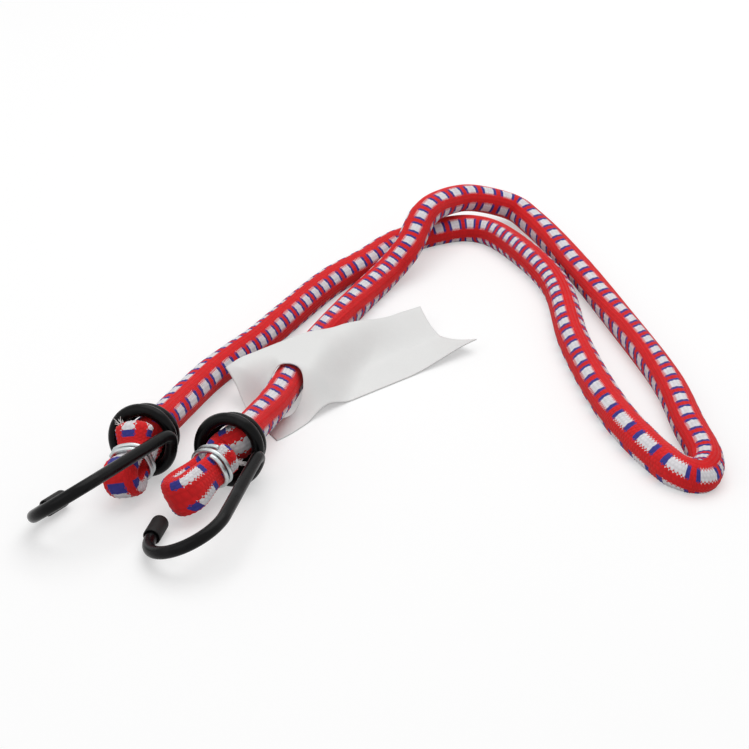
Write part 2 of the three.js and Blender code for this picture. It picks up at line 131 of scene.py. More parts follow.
# Node wiring: a socket that takes sums, and one method for every other node
class Thread:
    def __init__(self, tree, socket=None):
        self.tree = tree
        self.socket = socket

    def node(self, kind, settings=None, sockets=None, output=0):
        made = self.tree.nodes.new(kind)
        for key, value in (settings or {}).items():
            setattr(made, key, value)
        for key, value in (sockets or {}).items():
            if isinstance(value, Thread):
                self.tree.links.new(value.socket, made.inputs[key])
            else:
                made.inputs[key].default_value = value
        return Thread(self.tree, made.outputs[output])

    def math(self, operation, *items):
        return self.node("ShaderNodeMath", {"operation": operation}, dict(enumerate(items)))

    def __add__(self, other):
        return self.math("ADD", self, other)

    def __sub__(self, other):
        return self.math("SUBTRACT", self, other)

    def __rsub__(self, other):
        return self.math("SUBTRACT", other, self)

    def __mul__(self, other):
        return self.math("MULTIPLY", self, other)

    def __lt__(self, other):
        return self.math("LESS_THAN", self, other)

    __radd__ = __add__
    __rmul__ = __mul__

    def part(self, operation):
        return self.math(operation, self)

    def scaled(self, base, gain):
        return base + self * gain

    def mix(self, factor, a, b):
        return self.node("ShaderNodeMix", {"data_type": "RGBA"}, {0: factor, 6: a, 7: b}, output=2)

    def here(self):
        return self.node("ShaderNodeTexCoord", output="Object")

    def noise(self, at, scale, detail):
        return self.node("ShaderNodeTexNoise", None, {"Vector": at, "Scale": scale, "Detail": detail})

    def bump(self, height, strength, distance):
        sockets = {"Strength": strength, "Distance": distance, "Height": height}
        return self.node("ShaderNodeBump", None, sockets)


def newFinish(name):
    material = bpy.data.materials.new(name)
    material.use_nodes = True
    net = Thread(material.node_tree)
    shader = material.node_tree.nodes["Principled BSDF"]
    return material, net, shader


def feed(net, shader, sockets):
    for key, value in sockets.items():
        if isinstance(value, Thread):
            net.tree.links.new(value.socket, shader.inputs[key])
        else:
            shader.inputs[key].default_value = value


def newTree(name, sockets):
    tree = bpy.data.node_groups.new(name, "GeometryNodeTree")
    face = tree.interface
    face.new_socket("Geometry", in_out="OUTPUT", socket_type="NodeSocketGeometry")
    face.new_socket("Geometry", in_out="INPUT", socket_type="NodeSocketGeometry")
    for label, kind in sockets:
        face.new_socket(label, in_out="INPUT", socket_type="NodeSocket" + kind)
    entry = tree.nodes.new("NodeGroupInput")
    net = Thread(tree)
    inputs = {socket.name: Thread(tree, socket) for socket in entry.outputs if socket.name}
    return tree, net, inputs


def endTree(net, geometry, material):
    real = net.node("GeometryNodeRealizeInstances", None, {"Geometry": geometry})
    dressed = net.node("GeometryNodeSetMaterial", None, {"Geometry": real, "Material": material})
    out = net.tree.nodes.new("NodeGroupOutput")
    net.tree.links.new(dressed.socket, out.inputs[0])


def runTree(piece, tree, values):
    modifier = piece.modifiers.new(tree.name, "NODES")
    modifier.node_group = tree
    for item in tree.interface.items_tree:
        if item.item_type == "SOCKET" and item.in_out == "INPUT" and item.name in values:
            modifier[item.identifier] = values[item.name]
    graph = bpy.context.evaluated_depsgraph_get()
    solved = piece.evaluated_get(graph)
    mesh = bpy.data.meshes.new_from_object(solved, preserve_all_data_layers=True, depsgraph=graph)
    plain = piece.data
    piece.modifiers.remove(modifier)
    piece.data = mesh
    bpy.data.meshes.remove(plain)
    mesh.name = piece.name


def newPiece(name, points, faces, edges=(), marks=None):
    mesh = bpy.data.meshes.new(name)
    mesh.from_pydata(np.asarray(points).tolist(), list(edges), faces)
    for label, values in (marks or {}).items():
        layer = mesh.attributes.new(label, "FLOAT", "POINT")
        layer.data.foreach_set("value", np.asarray(values, np.float32))
    mesh.shade_smooth()
    mesh.update()
    piece = bpy.data.objects.new(name, mesh)
    scene.collection.objects.link(piece)
    return piece


# Cord: its route from the right collar round the loop to the left collar
cord = {
    "diameter": 0.010,
    "rest": 0.004,
    "wall": 0.0013,
    "coreGap": 0.0003,
    "coreSides": 36,
    "coreRibs": (12, 0.05),  # count, share of the radius
    "boreRings": (12, 30),  # at least so many, and one for so many rings of the skin
    "coreRings": (20, 12),
    "floorGap": 0.00012,
    "wayStep": 0.0006,
    "shift": view["target"],
    "rightLeg": [
        (-0.0352, -0.0410, 0.0078), (-0.0316, -0.0305, 0.0067), (-0.0288, -0.0205, 0.0059),
        (-0.0264, -0.0105, 0.0051), (-0.0208, 0.0080, 0.0042),
    ],
    "loop": [
        (-0.0050, 0.0445, 0.0040), (0.0045, 0.0620, 0.0054), (0.0115, 0.0720, 0.0096),
        (0.0175, 0.0870, 0.0150), (0.0245, 0.0985, 0.0146), (0.0355, 0.1085, 0.0120),
        (0.0515, 0.1115, 0.0064), (0.0575, 0.1045, 0.0044), (0.0685, 0.0760, 0.0040),
        (0.0820, 0.0295, 0.0040), (0.0930, -0.0135, 0.0040), (0.0960, -0.0380, 0.0040),
        (0.0985, -0.0560, 0.0040), (0.0978, -0.0625, 0.0040), (0.0955, -0.0665, 0.0040),
        (0.0900, -0.0645, 0.0040), (0.0850, -0.0570, 0.0040), (0.0750, -0.0325, 0.0040),
        (0.0658, 0.0125, 0.0040), (0.0625, 0.0540, 0.0040), (0.0536, 0.0780, 0.0040),
        (0.0420, 0.0960, 0.0040), (0.0345, 0.0995, 0.0040), (0.0250, 0.0975, 0.0040),
        (0.0080, 0.0870, 0.0040), (-0.0035, 0.0715, 0.0040), (-0.0150, 0.0575, 0.0040),
        (-0.0310, 0.0285, 0.0040),
    ],
    "leftLeg": [
        (-0.0382, 0.0150, 0.0040), (-0.0458, 0.0028, 0.0043), (-0.0524, -0.0100, 0.0052),
        (-0.0600, -0.0305, 0.0070),
    ],
}

# Hook wire: coiled collar, shank, throat and tip
hookWire = {
    "diameter": 0.0037,
    "cordPlay": 0.00045,
    "flare": 0.0027,
    "turns": 2.25,
    "narrowing": 1.7,
    "turnGap": 0.0005,
    "tilt": 10,
    "ringRest": 0.00005,
    "backMargin": 0.0032,
    "shank": 0.030,
    "throat": 0.0122,
    "tip": 0.0075,
    "bendAngle": 0.55,
    "bendOut": 0.0045,
    "bendIn": 0.004,
    "sides": 28,
    "chamfer": 0.0007,
    "perTurn": 64,
    "steps": {"bend": 25, "shank": 9, "throat": 49, "tip": 5},
}
coilBack = cord["diameter"] / 2 + hookWire["cordPlay"] + hookWire["diameter"] / 2
coilFront = coilBack + hookWire["flare"]
coilStep = hookWire["diameter"] + hookWire["turnGap"]
coilPitch = math.sqrt(coilStep ** 2 - (hookWire["flare"] / hookWire["turns"]) ** 2)
coilLength = coilPitch * hookWire["turns"]
ringDrop = coilFront * math.cos(math.radians(hookWire["tilt"]))
ringHeight = ringDrop + hookWire["diameter"] / 2 + hookWire["ringRest"]
collarBack = -(coilLength + hookWire["backMargin"])

ends = {
    "left": {
        "ring": (-0.0690, -0.0595), "azimuth": 18, "roll": 24, "forward": 0.0045, "shank": (31, 5.5),
        "throat": (-0.7, 0.33, -0.64), "inward": 0.0005, "tailLength": 0.020, "tail": (13, -6),
        "droop": 0.0022, "twist": 107, "standingSide": -1, "turnDepth": 0.0051, "deadEnd": -0.0012,
        "deadOffset": 0.0058, "deadDepth": 0.0063, "rowTurn": 84, "whiteAt": -0.0010, "fray": (1, 0.9),
        "lean": 0.0, "seed": 11,
    },
    "right": {
        "ring": (-0.0432, -0.0645), "azimuth": 20, "roll": 3.5, "forward": 0.0043, "shank": (13.5, 0.8),
        "throat": (-0.88, 0.18, -0.44), "inward": -0.001, "tailLength": 0.026, "tail": (33, -6),
        "droop": 0.0013, "twist": 26, "standingSide": -1, "turnDepth": 0.0057, "deadEnd": 0.0020,
        "deadOffset": 0.0033, "deadDepth": 0.0048, "rowTurn": 40, "whiteAt": 0.0160, "fray": (-1, 0.5),
        "lean": 1.3, "seed": 23,
    },
}
for end in ends.values():
    end["middle"] = np.array([*end["ring"], ringHeight]) + np.array(cord["shift"])
    end["axis"] = heading(end["azimuth"], hookWire["tilt"])


def roundRoute(points, perSpan):
    rows = [2 * points[0] - points[1], *points, 2 * points[-1] - points[-2]]
    t = np.arange(perSpan)[:, None] / perSpan
    out = []
    for p0, p1, p2, p3 in zip(rows, rows[1:], rows[2:], rows[3:]):
        a, b, c = (math.sqrt(np.linalg.norm(n - m)) for m, n in ((p0, p1), (p1, p2), (p2, p3)))
        leave = ((p1 - p0) / a - (p2 - p0) / (a + b) + (p2 - p1) / b) * b
        arrive = ((p2 - p1) / b - (p3 - p1) / (b + c) + (p3 - p2) / c) * b
        out.append((2 * t ** 3 - 3 * t ** 2 + 1) * p1 + (t ** 3 - 2 * t ** 2 + t) * leave
                   + (3 * t ** 2 - 2 * t ** 3) * p2 + (t ** 3 - t ** 2) * arrive)
    return np.vstack([*out, points[-1:]])


def wholeRoute(spec, perSpan=40):
    shift = np.array(spec["shift"])
    backs = {key: end["middle"] + end["axis"] * collarBack for key, end in ends.items()}
    points = [ends["right"]["middle"], backs["right"]]
    points += [np.array(p) + shift for p in spec["rightLeg"] + spec["loop"] + spec["leftLeg"]]
    points += [backs["left"], ends["left"]["middle"]]
    path = roundRoute(np.array(points), perSpan)
    path[:, 2] = np.maximum(path[:, 2], spec["rest"])
    run = lengths(path)
    places = {
        "rightBack": run[perSpan],
        "rightMeet": run[perSpan * (1 + len(spec["rightLeg"]))],
        "leftMeet": run[perSpan * (2 + len(spec["rightLeg"]) + len(spec["loop"]))],
        "leftBack": run[-1 - perSpan],
    }
    return path, run, places


routePath, routeRun, routePlaces = wholeRoute(cord)
print("cord route: {:.1f} mm".format(routeRun[-1] * 1000))


# Braid: fleck rows, their pitch along the route and the way they turn round it
braid = {
    "columns": 24,
    "rows": 4,
    "picksPerFleck": 11,
    "whitePicks": 5.2,
    "bluePicks": 1.6,
    "sides": 48,
    "lift": 0.00021,
    "whiteTeeth": (1.9, 0.95),  # half a fleck's width in columns, and how far its edge is notched
    "blueTeeth": (1.85, 0.6),
    "fleckSoft": 0.0015,
    "angleSoft": 0.004,
    "leadFlecks": 3,  # keeps the count above zero at the collars
    "tablePoints": 8000,
    "endRoom": 0.4,  # least space, in half picks, beside the ring at an end
    "flecks": [  # distance along the route, fleck number
        (0.000, -2.1), (0.018, 0), (0.051, 4), (0.091, 9), (0.126, 14), (0.149, 18), (0.168, 21),
        (0.200, 25), (0.2235, 28), (0.2505, 31), (0.285, 35), (0.309, 38), (0.345, 43), (0.385, 48),
        (0.3918, 49), (0.3962, 50), (0.3996, 51), (0.4004, 51.24), (0.4026, 51.76), (0.4054, 52),
        (0.408, 52.24), (0.419, 53), (0.433, 54), (0.444, 55), (0.463, 57), (0.488, 60), (0.519, 64),
        (0.5545, 70), (0.577, 75), (0.591, 77), (0.633, 83), (0.6615, 87), (0.692, 92), (0.715, 96),
        (0.741, 99), (0.761, 101), (0.790, 104.6),
    ],
    "rowAngle": [  # degrees round the cord
        (0.000, 94), (0.018, 94), (0.036, 106), (0.052, 104), (0.091, 83), (0.108, 93), (0.126, 109),
        (0.139, 116), (0.156, 106), (0.170, 110), (0.185, 120), (0.204, 106), (0.223, 88), (0.242, 98),
        (0.259, 112), (0.285, 102), (0.309, 80), (0.326, 79), (0.345, 92), (0.372, 102), (0.387, 100),
        (0.395, 104), (0.400, 121), (0.406, 148), (0.420, 150), (0.434, 149), (0.458, 143),
        (0.490, 146), (0.526, 143), (0.548, 147), (0.573, 152), (0.583, 139), (0.600, 134),
        (0.633, 136), (0.650, 133), (0.670, 138), (0.704, 125), (0.735, 119), (0.790, 117),
    ],
    "spread": [(0.000, 9), (0.130, 9), (0.165, 0), (0.790, 0)],  # degrees, next rows opposite ways
    "lean": [  # picks that a fleck's edges slip by, opposite ways
        (0.000, 0.9), (0.050, 0.7), (0.080, 1.5), (0.100, 1.4), (0.125, 0.5), (0.150, 0), (0.285, 0),
        (0.305, -1.3), (0.335, -1.3), (0.355, 0), (0.540, 0), (0.560, -1.0), (0.575, -1.0), (0.590, 0),
        (0.790, 0),
    ],
    "girth": [  # share of the full radius
        (0.000, 1.0), (0.130, 0.98), (0.200, 0.95), (0.260, 0.95), (0.360, 0.99), (0.400, 1.03),
        (0.430, 1.05), (0.470, 1.02), (0.560, 0.97), (0.600, 0.96), (0.660, 1.0), (0.790, 1.0),
    ],
}


def pickTable(spec):
    run = np.linspace(0, routeRun[-1], spec["tablePoints"])
    flecks = softLine(spec["flecks"], run, spec["fleckSoft"])
    return run, spec["picksPerFleck"] * (flecks + spec["leadFlecks"]) + spec["whitePicks"] / 2


pickRun, pickCount = pickTable(braid)


# One ring of points every half pick, and one at each end
def halfPicks(low, high):
    room = braid["endRoom"]
    half = np.arange(math.ceil(low * 2 + room), math.floor(high * 2 - room) + 1) / 2
    return np.concatenate([[low], half, [high]])


def ringPlaces(start, stop):
    picks = halfPicks(*np.interp([start, stop], pickRun, pickCount))
    return np.interp(picks, pickCount, pickRun), picks


def ringAngles():
    return 2 * math.pi * np.arange(braid["sides"]) / braid["sides"]


# Each point of a ring and the one after it
def ringSteps(sides):
    k = np.arange(sides)
    return k, (k + 1) % sides


# Quads between two rings of points, the second further along
def wallFaces(first, second, sides):
    k, n = ringSteps(sides)
    return np.stack([first + k, first + n, second + n, second + k], 1).tolist()


def sleeve(name, path, axes, half, turn, picks, wall, innerRings, square=1.0, spread=0.0, slip=0.0):
    sides = braid["sides"]
    count = len(path)
    u, v = (axis[:, None, :] for axis in axes)
    around = ringAngles()
    power, spread, turn = (np.broadcast_to(item, count)[:, None] for item in (square, spread, turn))
    angle = turn + around - spread * np.cos(2 * around)
    c = (np.sign(np.cos(angle)) * np.abs(np.cos(angle)) ** power)[..., None]
    s = (np.sign(np.sin(angle)) * np.abs(np.sin(angle)) ** power)[..., None]
    across, deep = half[:, 0][:, None, None], half[:, 1][:, None, None]
    skin = path[:, None, :] + across * c * u + deep * s * v
    skin[..., 2] = np.maximum(skin[..., 2], cord["floorGap"])
    keep = spaced(count, innerRings)
    bore = (path[:, None, :] + (across - wall) * c * u + (deep - wall) * s * v)[keep]
    points = np.concatenate([skin.reshape(-1, 3), bore.reshape(-1, 3)])
    base = count * sides
    k, n = ringSteps(sides)
    faces = []
    for i in range(count - 1):
        faces += wallFaces(i * sides, (i + 1) * sides, sides)
    for i in range(len(keep) - 1):
        a, b = base + i * sides, base + (i + 1) * sides
        faces += np.stack([a + k, b + k, b + n, a + n], 1).tolist()
    last, lastBore = (count - 1) * sides, base + (len(keep) - 1) * sides
    faces += np.stack([k, base + k, base + n, n], 1).tolist()
    faces += np.stack([last + k, last + n, lastBore + n, lastBore + k], 1).tolist()
    rings = count + len(keep)
    pickAt = picks[:, None] + np.broadcast_to(slip, (count, sides))
    marks = {
        "picks": np.concatenate([pickAt, pickAt[keep]]).ravel(),
        "rowCos": np.tile(np.cos(around), rings),
        "rowSin": np.tile(np.sin(around), rings),
        "skin": np.repeat(np.concatenate([np.ones(count), np.zeros(len(keep))]), sides),
    }
    return newPiece(name, points, faces, marks=marks)


def rod(name, path, axes, half, sides, ribs=0, ribDepth=0.0):
    count = len(path)
    u, v = (axis[:, None, :] for axis in axes)
    around = 2 * math.pi * np.arange(sides) / sides
    swell = 1 + ribDepth * np.cos(ribs * around)
    c, s = (np.cos(around) * swell)[None, :, None], (np.sin(around) * swell)[None, :, None]
    across, deep = half[:, 0][:, None, None], half[:, 1][:, None, None]
    points = (path[:, None, :] + across * c * u + deep * s * v).reshape(-1, 3)
    points = np.concatenate([points, path[:1], path[-1:]])
    k, n = ringSteps(sides)
    faces = []
    for i in range(count - 1):
        faces += wallFaces(i * sides, (i + 1) * sides, sides)
    first, last = count * sides, count * sides + 1
    faces += np.stack([n, k, np.full(sides, first)], 1).tolist()
    end = (count - 1) * sides
    faces += np.stack([end + k, end + n, np.full(sides, last)], 1).tolist()
    return newPiece(name, points, faces)


# A point's place among the yarns: every second column is half a pick behind its neighbour
def braidCells(column, runPicks):
    columnId = (column + 0.5).part("FLOOR")
    picks = runPicks + (columnId * 0.5).part("FRACT")
    pickId = (picks + 0.5).part("FLOOR")
    inColumn, inPick = column - columnId, picks - pickId
    pillow = (inColumn * math.pi).part("COSINE") * (inPick * math.pi).part("COSINE")
    return columnId, pickId, picks, inPick, pillow


# Relief of the braid
def braidTree():
    labels = [("Lift", "Float"), ("Columns", "Float"), ("Material", "Material")]
    tree, net, given = newTree("braidRelief", labels)

    def mark(label):
        return net.node("GeometryNodeInputNamedAttribute", {"data_type": "FLOAT"}, {"Name": label})

    angle = net.math("ARCTAN2", mark("rowSin"), mark("rowCos"))
    column = angle * given["Columns"] * (0.5 / math.pi)
    pillow = braidCells(column, mark("picks"))[-1]
    normal = net.node("GeometryNodeInputNormal")
    height = pillow * mark("skin") * given["Lift"]
    offset = net.node("ShaderNodeVectorMath", {"operation": "SCALE"}, {0: normal, "Scale": height})
    moved = net.node("GeometryNodeSetPosition", None,
                     {"Geometry": given["Geometry"], "Offset": offset})
    endTree(net, moved, given["Material"])
    return tree


# Wire: a round section drawn along a line of points
def wireTree():
    tree, net, given = newTree("drawnWire", [("Sides", "Int"), ("Material", "Material")])
    radius = net.node("GeometryNodeInputNamedAttribute", {"data_type": "FLOAT"},
                      {"Name": "wireRadius"})
    line = net.node("GeometryNodeMeshToCurve", None, {0: given["Geometry"]})
    ring = net.node("GeometryNodeCurvePrimitiveCircle", None,
                    {"Resolution": given["Sides"], "Radius": 1.0})
    sockets = {"Curve": line, "Profile Curve": ring, "Scale": radius, "Fill Caps": True}
    tube = net.node("GeometryNodeCurveToMesh", None, sockets)
    smooth = net.node("GeometryNodeSetShadeSmooth", None, {"Geometry": tube})
    endTree(net, smooth, given["Material"])
    return tree


# Finishes
sheathLook = {
    "red": (0.74, 0.012, 0.015, 1),
    "white": (0.80, 0.78, 0.81, 1),
    "blue": (0.040, 0.040, 0.270, 1),
    "fibre": (0.7, 5.0),  # scale across and along
    # tone: base value; pillow is painted shade in the crevices between yarns, darker towards each
    # yarn's edges; chance and fibre are the yarns' own brightness
    "tone": {"base": 0.80, "pillow": 0.16, "chance": 0.12, "fibre": 0.10},
    "fibreRelief": 0.6,
    "bump": (0.8, 0.00012),  # strength, distance
    "rough": (0.72, 0.16),  # base, gain
    "gloss": 0.3,
    "sheen": (0.15, 0.4),  # weight, roughness
    "nudge": 0.001,  # stops rounding from splitting the column at the seam
}


def sheathBraid(spec):
    material, net, shader = newFinish("sheathBraid")

    def mark(label):
        return net.node("ShaderNodeAttribute", {"attribute_name": label}, output="Fac")

    angle = net.math("ARCTAN2", mark("rowSin"), mark("rowCos"))
    column = angle * (braid["columns"] / (2 * math.pi))
    columnId, pickId, picks, inPick, pillow = braidCells(column, mark("picks"))

    perRow = braid["columns"] / braid["rows"]
    inRow = (angle * (braid["rows"] / (2 * math.pi)) + 0.5).part("FRACT") - 0.5
    fromRow = inRow.part("ABSOLUTE") * perRow
    tooth = (inPick * 2).part("ABSOLUTE")
    along = (mark("picks") * (1 / braid["picksPerFleck"])).part("FRACT") * braid["picksPerFleck"]
    isWhite = along < braid["whitePicks"]
    redMiddle = (braid["whitePicks"] + braid["picksPerFleck"]) / 2
    redHalf = (braid["picksPerFleck"] - braid["whitePicks"]) / 2 - braid["bluePicks"]
    isRed = (along - redMiddle).part("ABSOLUTE") < redHalf
    whiteWide, blueWide = (
        fromRow < (wide - tooth * notch) for wide, notch in (braid["whiteTeeth"], braid["blueTeeth"])
    )
    blue = (1 - isWhite) * (1 - isRed) * blueWide

    wrapped = (columnId * (1 / braid["columns"]) + spec["nudge"]).part("FRACT")
    cell = net.node("ShaderNodeCombineXYZ", None, {"X": wrapped, "Y": pickId})
    chance = net.node("ShaderNodeTexWhiteNoise", {"noise_dimensions": "2D"}, {"Vector": cell})
    across, down = spec["fibre"]
    fibreAt = net.node("ShaderNodeCombineXYZ", None, {"X": column * across, "Y": picks * down})
    fibre = net.node("ShaderNodeTexNoise", {"noise_dimensions": "2D"},
                     {"Vector": fibreAt, "Scale": 1.0, "Detail": 3.0, "Roughness": 0.6})
    yarn = net.mix(blue, spec["red"], spec["blue"])
    yarn = net.mix(isWhite * whiteWide, yarn, spec["white"])
    tone = spec["tone"]
    # painted shade: the pillow term darkens the yarn colour in the crevices between yarns
    shade = tone["base"] + pillow * tone["pillow"] + chance * tone["chance"] + fibre * tone["fibre"]
    yarn = net.node("ShaderNodeHueSaturation", None, {"Value": shade, "Color": yarn})
    rough = fibre.scaled(*spec["rough"])
    bump = net.bump(pillow + fibre * spec["fibreRelief"], *spec["bump"])
    weight, spread = spec["sheen"]
    feed(net, shader, {"Base Color": yarn, "Roughness": rough, "Normal": bump})
    feed(net, shader, {"Specular IOR Level": spec["gloss"]})
    feed(net, shader, {"Sheen Weight": weight, "Sheen Roughness": spread})
    return material


# Grained finishes: a noise is scale and detail, bump is strength and distance, rough is base and gain
def grained(name, spec, paint):
    material, net, shader = newFinish(name)
    spot = net.here()
    noises = [net.noise(spot, *row) for row in spec["noises"]]
    colour, rough, relief = paint(spec, net, *noises)
    feed(net, shader, {"Base Color": colour, "Roughness": rough.scaled(*spec["rough"])})
    if "bump" in spec:
        feed(net, shader, {"Normal": net.bump(relief, *spec["bump"])})
    feed(net, shader, spec.get("other", {}))
    return material


coreLook = {
    "cream": (0.78, 0.66, 0.42, 1),
    "dark": (0.52, 0.40, 0.22, 1),
    "noises": [(1400.0, 3.0)],
    "bump": (0.4, 0.0001),
    "rough": (0.55, 0.3),
}


def coreRubber(spec, net, grain):
    return net.mix(grain, spec["dark"], spec["cream"]), grain, grain


yarnLook = {
    "pale": (0.80, 0.78, 0.77, 1),
    "shade": (0.66, 0.60, 0.60, 1),
    "noises": [(2500.0, 2.0)],
    "rough": (0.7, 0.2),
}


def frayYarn(spec, net, tone):
    return net.mix(tone, spec["shade"], spec["pale"]), tone, None


paintLook = {
    "black": (0.0022, 0.0022, 0.0025, 1),
    "worn": (0.009, 0.009, 0.010, 1),
    "noises": [(900.0, 2.0), (160.0, 5.0)],
    "wear": (0.55, 6),  # where it starts, gain
    "bump": (0.25, 0.00006),
    "rough": (0.17, 0.20),
    "other": {"Specular IOR Level": 0.12},
}


def hookPaint(spec, net, peel, smear):
    wearFrom, wearGain = spec["wear"]
    worn = net.math("MINIMUM", net.math("MAXIMUM", (smear - wearFrom) * wearGain, 0.0), 1.0)
    return net.mix(worn, spec["black"], spec["worn"]), smear, peel


vinylLook = {
    "black": (0.006, 0.0055, 0.0055, 1),
    "bloom": (0.018, 0.016, 0.016, 1),
    "noises": [(1500.0, 3.0), (260.0, 4.0)],
    "bloomShare": 0.6,
    "bump": (0.35, 0.00008),
    "rough": (0.5, 0.25),
    "other": {"Specular IOR Level": 0.25},
}


def capVinyl(spec, net, grain, bloom):
    return net.mix(bloom * spec["bloomShare"], spec["black"], spec["bloom"]), bloom, grain


zincLook = {
    "bright": (0.66, 0.70, 0.70, 1),
    "dull": (0.36, 0.39, 0.40, 1),
    "spangle": 900.0,
    "noises": [(700.0, 4.0)],
    "bump": (0.3, 0.00005),
    "rough": (0.24, 0.26),
    "other": {"Metallic": 1.0},
}


def clampZinc(spec, net, smear):
    spangle = net.node("ShaderNodeTexVoronoi", None, {"Vector": net.here(), "Scale": spec["spangle"]})
    return net.mix(smear, spec["dull"], spec["bright"]), smear, spangle + smear


cardLook = {
    "white": (0.84, 0.84, 0.83, 1),
    "grey": (0.74, 0.74, 0.735, 1),
    "noises": [(1100.0, 4.0), (60.0, 3.0)],
    "shares": (0.3, 0.7),  # fibre, cloud
    "bump": (0.25, 0.00006),
    "rough": (0.42, 0.2),
}


def tagCard(spec, net, fibre, cloud):
    fibreShare, cloudShare = spec["shares"]
    tone = cloud * cloudShare + fibre * fibreShare
    return net.mix(tone, spec["grey"], spec["white"]), fibre, fibre + cloud


finish = {
    "sheath": sheathBraid(sheathLook),
    "core": grained("coreRubber", coreLook, coreRubber),
    "fray": grained("frayYarn", yarnLook, frayYarn),
    "hook": grained("hookPaint", paintLook, hookPaint),
    "cap": grained("capVinyl", vinylLook, capVinyl),
    "clamp": grained("clampZinc", zincLook, clampZinc),
    "tag": grained("tagCard", cardLook, tagCard),
}
relief = braidTree()
drawnWire = wireTree()
print("finishes ready")


def dressSleeve(piece):
    values = {"Lift": braid["lift"], "Columns": float(braid["columns"]), "Material": finish["sheath"]}
    runTree(piece, relief, values)


def drawWire(name, path, radius, sides, look, chamfer):
    run = lengths(path)
    ease = np.array([0.0, 0.06, 0.22, 0.5, 1.0]) * chamfer  # rings that round off each end
    middle = run[(run > chamfer) & (run < run[-1] - chamfer)]
    places = np.unique(np.concatenate([ease, middle, run[-1] - ease]))
    toEnd = np.minimum(places, run[-1] - places)
    slim = np.sqrt(np.clip(1 - (1 - np.minimum(toEnd / chamfer, 1)) ** 2, 0, 1))
    marks = {"wireRadius": radius * (1 - chamfer / radius * (1 - slim))}
    points = pick(path, run, places)
    edges = [(i, i + 1) for i in range(len(points) - 1)]
    piece = newPiece(name, points, [], edges, marks)
    runTree(piece, drawnWire, {"Sides": sides, "Material": look})
    return piece


# Free cord: the loop stays, and a leg runs from it to each end
def freeCord(name, start, stop):
    run, picks = ringPlaces(routePlaces[start], routePlaces[stop])
    path = pick(routePath, routeRun, run)
    after = pick(routePath, routeRun, run + cord["wayStep"])
    before = pick(routePath, routeRun, run - cord["wayStep"])
    ways = unit(after - before)
    axes = framesAlong(ways, np.array([0.0, 0.0, 1.0]))
    girth = lineTable(braid["girth"], run) * cord["diameter"] / 2
    half = np.stack([girth, girth], 1)
    turn = np.radians(softLine(braid["rowAngle"], run, braid["angleSoft"]))
    spread = np.radians(lineTable(braid["spread"], run))
    slip = lineTable(braid["lean"], run)[:, None] * np.sin(braid["rows"] * ringAngles())
    boreRings, coreRings = (
        max(least, len(path) // every) for least, every in (cord["boreRings"], cord["coreRings"])
    )
    skin = sleeve(name + "Sheath", path, axes, half, turn, picks, cord["wall"], boreRings,
                  spread=spread, slip=slip)
    dressSleeve(skin)
    sparse = spaced(len(path), coreRings)
    thin = half[sparse] - cord["wall"] - cord["coreGap"]
    coreAxes = [axis[sparse] for axis in axes]
    core = rod(name + "Core", path[sparse], coreAxes, thin, cord["coreSides"], *cord["coreRibs"])
    core.data.materials.append(finish["core"])
    return {"skin": skin, "core": core, "path": path}


stretches = {
    "rightLeg": freeCord("rightLeg", "rightBack", "rightMeet"),
    "loop": freeCord("loop", "rightMeet", "leftMeet"),
    "leftLeg": freeCord("leftLeg", "leftMeet", "leftBack"),
}
print("free cord made")


# Doubled tails: the cord goes out of the collar, turns back and is bound to itself
tail = {
    "squeezedHalf": 0.0030,
    "legGap": 0.0005,
    "standing": (0.0031, 0.0032, 0.0050),
    "deadHalf": 0.0028,
    "clampPlace": 0.0072,
    "clampRun": 0.0025,
    "clampHalf": 0.0024,
    "clampDepth": 0.0048,
    "wall": 0.0009,
    "fleckPitch": 0.0135,
    "cutTaper": 0.0014,
    "turnFrom": 0.013,
    "turnOver": 0.008,
    "collarTurn": 42,
    "square": 0.62,
    "squareReach": 0.014,
    "corePeek": 0.0007,
    "corePlay": 0.0002,
    "coreSides": 48,
    "coreRibs": (16, 0.06),
    "bendBack": 0.004,  # bend from the collar's axis to the tail's: its start and its end
    "bendFront": 0.006,
    "gripRows": (-0.0095, -0.0075),
    "gripShare": 0.9,
    "standingFrom": -0.001,
    "outPoints": 110,
    "turnPoints": 42,
    "backPoints": 60,
    "cutShrink": 0.3,
    "boreRings": 40,
    "coreRings": 60,
    "coreTip": 0.92,
    "leadFlecks": 20,
    "wayStep": 0.0004,
}
bind = {
    "wire": 0.00145,
    "play": 0.0002,
    "gap": 0.00055,
    "turns": 2,
    "start": 0.9,
    "squareness": 0.8,
    "sides": 18,
    "chamfer": 0.0003,
    "perTurn": 48,
}


def tailAxes(end):
    along = heading(*end["tail"])
    level = unit(np.array([-along[1], along[0], 0.0]))
    level = level * math.copysign(1, level[0])
    lift = unit(np.cross(along, level))
    lift = lift * math.copysign(1, lift[2])
    twist = math.radians(end["twist"])
    across = level * math.cos(twist) + lift * math.sin(twist)
    return along, across, unit(np.cross(along, across))


def tailSpine(end, along, d):
    ring, axis = end["middle"], end["axis"]
    down = np.array([0.0, 0.0, -end["droop"]])
    back, front = tail["bendBack"], tail["bendFront"]
    if d <= -back:
        return ring + axis * d
    if d >= front:
        return ring + down + along * d
    f = (d + back) / (back + front)
    p0, p1, p2 = ring - axis * back, ring + down / 3, ring + down + along * front
    return p0 * (1 - f) ** 2 + p1 * 2 * f * (1 - f) + p2 * f * f


